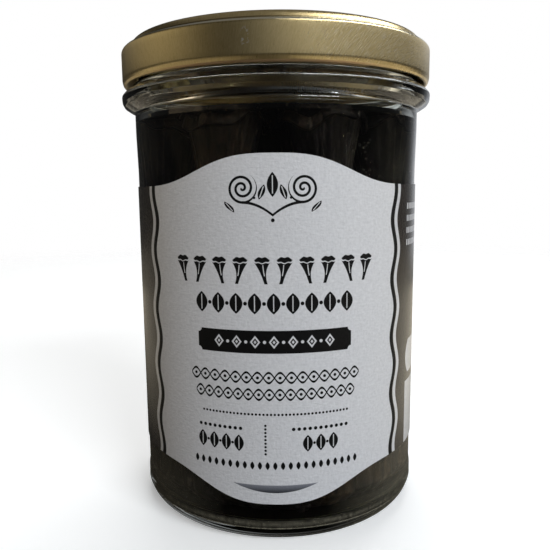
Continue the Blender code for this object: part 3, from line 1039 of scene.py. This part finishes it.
def bed_points():
    """The crushed flesh at the bottom: a dish that lines the floor and the wall's lower end.

    Its upper edge waves, and its wall sinks in folds between the crests of sines of the turn.
    """
    turn = (np.arange(BED_COLUMNS) * TURN / BED_COLUMNS)[None, :]
    share = np.linspace(0, 1, BED_ROWS)[:, None]
    waves = [np.sin(k * turn + 1.3 * k + 2 * share) for k in (7, 13, 22, 37)]
    top = 15 + 2.2 * waves[0] + 1.2 * waves[1]
    floor_z = (FLOOR_Z + FLOOR_RISE) / MM + 0.5
    r = np.minimum(share / 0.55, 1) * (WALL_R - 0.15)
    z = floor_z + (top - floor_z) * np.clip((share - 0.5) / 0.5, 0, 1) ** 1.3
    heel = (INNER_HEEL_R / MM) * (1 - smooth_step((z - floor_z) / 4)) * smooth_step(share / 0.5)
    folds = 0.5 * (1 - np.abs(waves[2])) + 0.3 * (1 - np.abs(waves[3])) + 0.4 * (1 + waves[1])
    r = np.maximum(r - heel - folds * smooth_step((share - 0.3) / 0.2), 0.4)
    return around(r * MM, turn, z * MM)


def flesh_bed(look):
    points, faces = capped(bed_points())
    thickened(piece("flesh_bed", points, faces, [look], "jar"), BED_THICK)


def ball_points(rows=8, columns=12):
    """Directions over a sphere, from one pole ring to the other."""
    tilt = np.linspace(0.02, math.pi - 0.02, rows)[:, None]
    turn = (np.arange(columns) * TURN / columns)[None, :]
    return np.stack(
        (np.sin(tilt) * np.cos(turn), np.sin(tilt) * np.sin(turn), np.cos(tilt) * np.ones_like(turn)), axis=-1
    )


def bubbles():
    """Small round air bubbles in the brine against the glass, gathered in a few clusters."""
    rng = np.random.default_rng(77)
    spots = ((34, 76, 22), (41, 71, 16), (27, 80, 10), (12, 81, 9), (-48, 79, 8), (-20, 82, 7), (48, 62, 8))
    spots += tuple((rng.uniform(-180, 180), rng.uniform(72, 84), 4) for _ in range(14))
    ball = ball_points()
    grid = grid_faces(*ball.shape[:2])
    points, faces = [], []
    for turn, level, count in spots:
        angle = np.radians(turn + rng.normal(0, 3.2, count))
        z = level + rng.normal(0, 1.6, count)
        size = rng.uniform(0.12, 0.34, count) ** 1.2
        centres = around((BUBBLE_WALL_R - size) * MM, angle, np.minimum(z, 85) * MM)
        for centre, radius in zip(centres, size):
            faces.append(grid + len(points) * ball[..., 0].size)
            points.append(centre + ball.reshape(-1, 3) * radius * MM)
    look = Graph("bubble_skin", base_color=(0.9, 0.9, 0.88), roughness=0.0, ior=0.75, transmission_weight=1.0)
    piece("bubbles", np.vstack(points), np.vstack(faces), [look.material], "jar")


def gasket():
    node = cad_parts["lid_gasket"]
    node.data.materials.clear()
    node.data.materials.append(sealing_compound())


# ---------------------------------------------------------------- studio


def floor():
    """A round flat floor that fades out before its edge.

    Rays straight from the camera see it plain and pale. All others, in mirror images and bounced
    light, see a dark table with painted pools of light: warmer and brighter beside the jar, most
    on the right, and olive right under it.
    """
    rings = np.linspace(0.004, FLOOR_EDGE, 24)
    angle = np.arange(96) * TURN / 96
    points = around(rings[:, None], angle[None, :], np.zeros((1, 1))).reshape(-1, 3)
    faces = grid_faces(len(rings), 96).tolist() + [list(range(96))]
    mesh = bpy.data.meshes.new("floor")
    mesh.from_pydata(points.tolist(), [], faces)
    g = Graph("pale_floor", roughness=0.8, emission_color=(0.97, 0.99, 1, 1), emission_strength=0.32)
    x, y, _ = g.axes()
    away = (x * x + y * y) ** 0.5
    grain = g.noise(600, 3)
    g.feed("Base Color", g.mixed(grain, (0.9, 0.9, 0.895), (0.94, 0.94, 0.935)))
    # Painted pools of light on the dark table: beside the jar, brighter on the right, and olive under it.
    beside = g.maths("MULTIPLY_ADD", abs(x) + (x | 0) * 0.5, 1 / 0.07, -0.7, clamp=True)
    beside = (beside & away.below(0.31, 0.06)) | away.above(0.12, 0.06) * 0.08
    lit = g.mixed(x.above(0, 0.1), (0.5, 0.44, 0.34), (0.8, 0.72, 0.57))
    table_with_painted_light = g.mixed(beside, (0.03, 0.028, 0.026), lit)
    table_with_painted_light = g.mixed(away.below(0.03, 0.006), table_with_painted_light, (0.1, 0.092, 0.064))
    matt = {"Base Color": table_with_painted_light, "Roughness": 1.0, "Specular IOR Level": 0.0}
    table = g.node("ShaderNodeBsdfPrincipled", None, matt)
    light_path = g.node("ShaderNodeLightPath")
    seen = light_path.outputs["Is Camera Ray"]
    floor_look = g.node("ShaderNodeMixShader", None, {0: seen, 1: table.outputs[0], 2: g.shader.outputs[0]})
    clear = g.node("ShaderNodeBsdfTransparent")
    fade = g.maths("MULTIPLY_ADD", away, 1 / (FLOOR_EDGE * 0.55), -0.45 / 0.55, clamp=True)
    faded = g.node("ShaderNodeMixShader", None, {0: fade, 1: floor_look.outputs[0], 2: clear.outputs[0]})
    g.join(g.tree.nodes["Material Output"].inputs[0], faded.outputs[0])
    mesh.materials.append(g.material)
    made = bpy.data.objects.new("floor", mesh)
    bpy.context.scene.collection.objects.link(made)


def heading(turn, rise):
    """A unit vector at this angle round the jar and this angle up, in degrees."""
    turn, rise = math.radians(turn), math.radians(rise)
    return Vector((math.sin(turn) * math.cos(rise), -math.cos(turn) * math.cos(rise), math.sin(rise)))


def soft_light(name, turn, rise, away, size, power, tint=(1, 1, 1), mirrored=True, spread=True):
    """A rectangular light that faces the jar; it may be left out of mirror images or of the rest."""
    lamp = bpy.data.lights.new(name, "AREA")
    lamp.shape = "RECTANGLE"
    lamp.size, lamp.size_y = size
    lamp.energy = power
    lamp.color = tint
    made = bpy.data.objects.new(name, lamp)
    made.location = Vector((0, 0, 0.05)) + heading(turn, rise) * away
    made.visible_glossy = mirrored
    made.visible_diffuse = spread
    made.rotation_euler = heading(turn, rise).to_track_quat("Z", "Y").to_euler()
    bpy.context.scene.collection.objects.link(made)
    return made


class Sky(Graph):
    """The nodes of the room's light, in the same words as a material's."""

    def __init__(self, name):
        self.world = bpy.data.worlds.new(name)
        self.world.use_nodes = True
        self.tree = self.world.node_tree
        self.place = self.node("ShaderNodeTexCoord").outputs["Generated"]

    def glow(self, turn, rise, strength, tightness):
        """A soft patch of light: the cosine of the angle to its middle, raised to a power."""
        made = self.node(
            "ShaderNodeVectorMath", {"operation": "DOT_PRODUCT"}, {0: self.place, 1: heading(turn, rise)}
        )
        towards = Number(self, made.outputs["Value"]) | 0
        return towards**tightness * strength


def room():
    """The light round the jar: plain white to rays straight from the camera.

    To all others it is nearly black, with soft glows at set angles, cool on the right and warm on
    the left, above and below the level of the jar, and a faint light overhead.
    """
    sky = Sky("soft_room")
    up = sky.axes()[2]
    level = up.above(0.195, 0.03) & up.below(0.4, 0.14)
    lowered = up.below(-0.12, 0.05)
    raised = (sky.glow(26, 14, 0.74, 5) + sky.glow(80, 14, 0.6, 4) + sky.glow(140, 16, 0.75, 10)) * level
    right = raised + sky.glow(155, -3, 0.65, 26)
    left = (sky.glow(-82, 14, 0.52, 8) + sky.glow(-118, 14, 0.25, 8)) * level
    sides = lowered * (sky.glow(100, -10, 1.1, 2) + sky.glow(-100, -10, 1.0, 2) + sky.glow(25, -10, 0.06, 4))
    plain = up.above(0.7, 0.12) * 0.14 + 0.03
    red = plain + right * 0.94 + left * 1.08 + sides
    green = plain + right * 0.98 + left + sides * 0.9
    blue = plain + right * 1.04 + left * 0.8 + sides * 0.7
    tinted = sky.node("ShaderNodeCombineColor", None, {0: red, 1: green, 2: blue}).outputs[0]
    seen = sky.node("ShaderNodeLightPath").outputs["Is Camera Ray"]
    sky.join(sky.tree.nodes["Background"].inputs[0], sky.mixed(seen, tinted, (1, 1, 1)))
    bpy.context.scene.world = sky.world


def studio():
    room()
    soft_light("key", 37, 30, 1.5, (0.8, 0.5), 15.7, (0.92, 0.96, 1), mirrored=False)
    front = soft_light("front", 4, 10, 1.5, (0.8, 0.5), 1.7, mirrored=False)
    front.visible_transmission = False
    soft_light("fill", -75, 10, 0.9, (0.5, 0.5), 0.45, (1, 0.76, 0.5), mirrored=False)
    soft_light("overhead", 172, 64, 0.9, (0.6, 0.35), 4.5, mirrored=False)
    soft_light("window", 68, 48, 0.9, (1.5, 0.3), 8, (0.92, 0.96, 1), spread=False)
    bpy.context.scene.view_settings.view_transform = "Standard"


def camera():
    """Looks at the jar from close by: turned about Z first, then pitched, then rolled."""
    facing = CAMERA_YAW - CAMERA_ROUND
    level, rise = math.cos(CAMERA_PITCH), math.sin(CAMERA_PITCH)
    forward = Vector((math.sin(facing) * level, math.cos(facing) * level, rise))
    right = Vector((math.cos(facing), -math.sin(facing), 0))
    above = right.cross(forward)
    tilt_right = right * math.cos(CAMERA_ROLL) + above * math.sin(CAMERA_ROLL)
    tilt_above = above * math.cos(CAMERA_ROLL) - right * math.sin(CAMERA_ROLL)
    lens = bpy.data.cameras.new("camera")
    lens.lens = CAMERA_LENS
    lens.sensor_width = 36
    lens.clip_start = 0.005
    made = bpy.data.objects.new("camera", lens)
    columns = Matrix((tilt_right, tilt_above, -forward)).transposed().to_4x4()
    spot = (CAMERA_AWAY * math.sin(CAMERA_ROUND), -CAMERA_AWAY * math.cos(CAMERA_ROUND), CAMERA_Z)
    made.matrix_world = Matrix.Translation(spot) @ columns
    bpy.context.scene.collection.objects.link(made)
    bpy.context.scene.camera = made


def main():
    glass_jar()
    lid()
    gasket()
    label()
    brine()
    mushrooms()
    bubbles()
    floor()
    studio()
    camera()


main()
